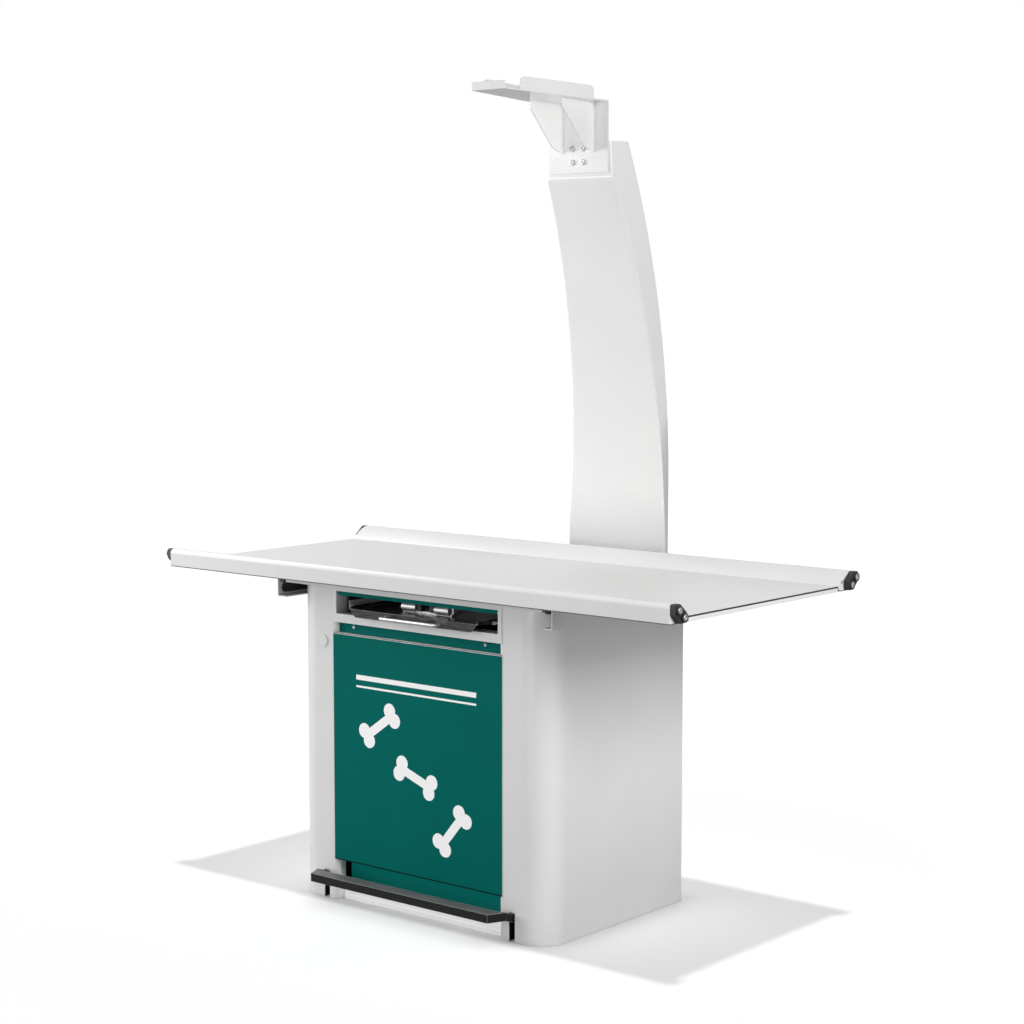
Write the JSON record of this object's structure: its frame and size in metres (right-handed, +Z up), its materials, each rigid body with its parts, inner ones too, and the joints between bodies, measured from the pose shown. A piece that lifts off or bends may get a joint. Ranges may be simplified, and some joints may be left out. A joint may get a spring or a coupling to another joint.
{
  "type": "x-ray table",
  "caption": "Radiography table: fixed cabinet with cassette tray and brake pedal, floating top on rollers, and a curved rear column with a tray head.",
  "frame": {"origin": "on the floor, in the middle of the cabinet's footprint", "axes": "+X along the table to the right, +Y from the front with the pedal to the column at the back, +Z up"},
  "size_m": [1.595, 0.96, 1.9901],
  "materials": {
    "white": "satin powder coat",
    "grey_paint": "satin powder coat",
    "green": "satin powder coat",
    "black_metal": "semi-matt black",
    "stainless": "fine brushed",
    "zinc": "zinc plated",
    "sheet": "smooth laminate with a dark edge",
    "black_rubber": "matt",
    "nylon": "matt"
  },
  "bodies": {
    "cabinet": {"left_shell": "white", "right_shell": "white", "rear_panel": "white", "cabinet_base": "black_metal", "base_rail": "white", "plinth_panel": "green", "front_panel": "green", "panel_edge_strip": "stainless", "upper_panel": "green", "panel_screws": "zinc", "bay_rail": "white", "bay_fascia": "green", "top_rail": "white", "bay_housing": "black_metal", "tray_slides": "white", "post_cap": "white", "roller_pins": "zinc", "rod_guides": "zinc", "pedal_bearings": "zinc", "column": "grey_paint", "column_base": "grey_paint", "column_ties": "grey_paint", "tie_bolts": "zinc", "head_bracket": "grey_paint", "head_tray": "grey_paint", "head_screws": "zinc", "left_brake_spring": "zinc", "right_brake_spring": "zinc"},
    "carriage": {"left_channel": "white", "right_channel": "white", "front_cross_rail": "white", "rear_cross_rail": "white", "channel_liners": "nylon", "table_roller_brackets": "black_metal", "table_keepers": "zinc"},
    "floating_top": {"table_sheet": "sheet", "front_rail": "white", "rear_rail": "white", "rail_end_plates": "white", "end_buffers": "black_rubber", "end_screws": "zinc", "end_battens": "white", "brake_plate": "stainless"},
    "left_front_carriage_wheel": {"left_front_carriage_roller": "nylon"},
    "left_front_table_wheel": {"left_front_table_roller": "nylon"},
    "left_rear_carriage_wheel": {"left_rear_carriage_roller": "nylon"},
    "left_rear_table_wheel": {"left_rear_table_roller": "nylon"},
    "right_front_carriage_wheel": {"right_front_carriage_roller": "nylon"},
    "right_front_table_wheel": {"right_front_table_roller": "nylon"},
    "right_rear_carriage_wheel": {"right_rear_carriage_roller": "nylon"},
    "right_rear_table_wheel": {"right_rear_table_roller": "nylon"},
    "pedal": {"pedal_bar": "black_metal", "pedal_shaft": "zinc"},
    "left_brake": {"left_brake_rod": "zinc"},
    "right_brake": {"right_brake_rod": "zinc"},
    "tray": {"cassette_tray": "stainless", "tray_handle": "stainless"},
    "front_clamp": {"front_jaw": "stainless", "front_jaw_grips": "black_rubber"},
    "rear_clamp": {"rear_jaw": "stainless"}
  },
  "joints": [
    {"name": "carriage_travel", "type": "slide", "parent": "cabinet", "child": "carriage", "axis": [0, 1, 0], "range_m": [-0.09, 0.09]},
    {"name": "table_travel", "type": "slide", "parent": "carriage", "child": "floating_top", "axis": [1, 0, 0], "range_m": [-0.25, 0.25]},
    {"name": "left_front_carriage_wheel_spin", "type": "hinge", "parent": "cabinet", "child": "left_front_carriage_wheel", "pos_m": [-0.413, -0.1505, 0.7622], "axis": [1, 0, 0], "range_deg": [-290, 290]},
    {"name": "left_rear_carriage_wheel_spin", "type": "hinge", "parent": "cabinet", "child": "left_rear_carriage_wheel", "pos_m": [-0.413, 0.1875, 0.7622], "axis": [1, 0, 0], "range_deg": [-290, 290]},
    {"name": "left_front_table_wheel_spin", "type": "hinge", "parent": "carriage", "child": "left_front_table_wheel", "pos_m": [-0.4155, -0.2775, 0.7787], "axis": [0, 1, 0], "range_deg": [-1800, 1800]},
    {"name": "left_rear_table_wheel_spin", "type": "hinge", "parent": "carriage", "child": "left_rear_table_wheel", "pos_m": [-0.4155, 0.3575, 0.7787], "axis": [0, 1, 0], "range_deg": [-1800, 1800]},
    {"name": "right_front_carriage_wheel_spin", "type": "hinge", "parent": "cabinet", "child": "right_front_carriage_wheel", "pos_m": [0.413, -0.1505, 0.7622], "axis": [1, 0, 0], "range_deg": [-290, 290]},
    {"name": "right_rear_carriage_wheel_spin", "type": "hinge", "parent": "cabinet", "child": "right_rear_carriage_wheel", "pos_m": [0.413, 0.1875, 0.7622], "axis": [1, 0, 0], "range_deg": [-290, 290]},
    {"name": "right_front_table_wheel_spin", "type": "hinge", "parent": "carriage", "child": "right_front_table_wheel", "pos_m": [0.4155, -0.2775, 0.7787], "axis": [0, 1, 0], "range_deg": [-1800, 1800]},
    {"name": "right_rear_table_wheel_spin", "type": "hinge", "parent": "carriage", "child": "right_rear_table_wheel", "pos_m": [0.4155, 0.3575, 0.7787], "axis": [0, 1, 0], "range_deg": [-1800, 1800]},
    {"name": "pedal_press", "type": "hinge", "parent": "cabinet", "child": "pedal", "pos_m": [0, 0.1375, 0.03], "axis": [1, 0, 0], "range_deg": [0, 5], "stiffness_Nm_per_rad": 60, "springref_deg": -22.92},
    {"name": "left_brake_release", "type": "slide", "parent": "cabinet", "child": "left_brake", "axis": [0, 0, 1], "range_m": [-0.0105, 0], "deforming": ["left_brake_spring"]},
    {"name": "right_brake_release", "type": "slide", "parent": "cabinet", "child": "right_brake", "axis": [0, 0, 1], "range_m": [-0.0105, 0], "deforming": ["right_brake_spring"]},
    {"name": "tray_pull", "type": "slide", "parent": "cabinet", "child": "tray", "axis": [0, -1, 0], "range_m": [0, 0.32]},
    {"name": "front_clamp_close", "type": "slide", "parent": "tray", "child": "front_clamp", "axis": [0, 1, 0], "range_m": [0, 0.085]},
    {"name": "rear_clamp_close", "type": "slide", "parent": "tray", "child": "rear_clamp", "axis": [0, -1, 0], "range_m": [0, 0.085]}
  ],
  "couplings": [
    {"joint": "left_front_carriage_wheel_spin", "follows": "carriage_travel", "rad_per_m": -55.556},
    {"joint": "left_rear_carriage_wheel_spin", "follows": "carriage_travel", "rad_per_m": -55.556},
    {"joint": "left_front_table_wheel_spin", "follows": "table_travel", "rad_per_m": 125},
    {"joint": "left_rear_table_wheel_spin", "follows": "table_travel", "rad_per_m": 125},
    {"joint": "right_front_carriage_wheel_spin", "follows": "carriage_travel", "rad_per_m": -55.556},
    {"joint": "right_rear_carriage_wheel_spin", "follows": "carriage_travel", "rad_per_m": -55.556},
    {"joint": "right_front_table_wheel_spin", "follows": "table_travel", "rad_per_m": 125},
    {"joint": "right_rear_table_wheel_spin", "follows": "table_travel", "rad_per_m": 125},
    {"joint": "left_brake_release", "follows": "pedal_press", "m_per_rad": -0.1},
    {"joint": "right_brake_release", "follows": "pedal_press", "m_per_rad": -0.1},
    {"joint": "rear_clamp_close", "follows": "front_clamp_close", "ratio": 1}
  ]
}
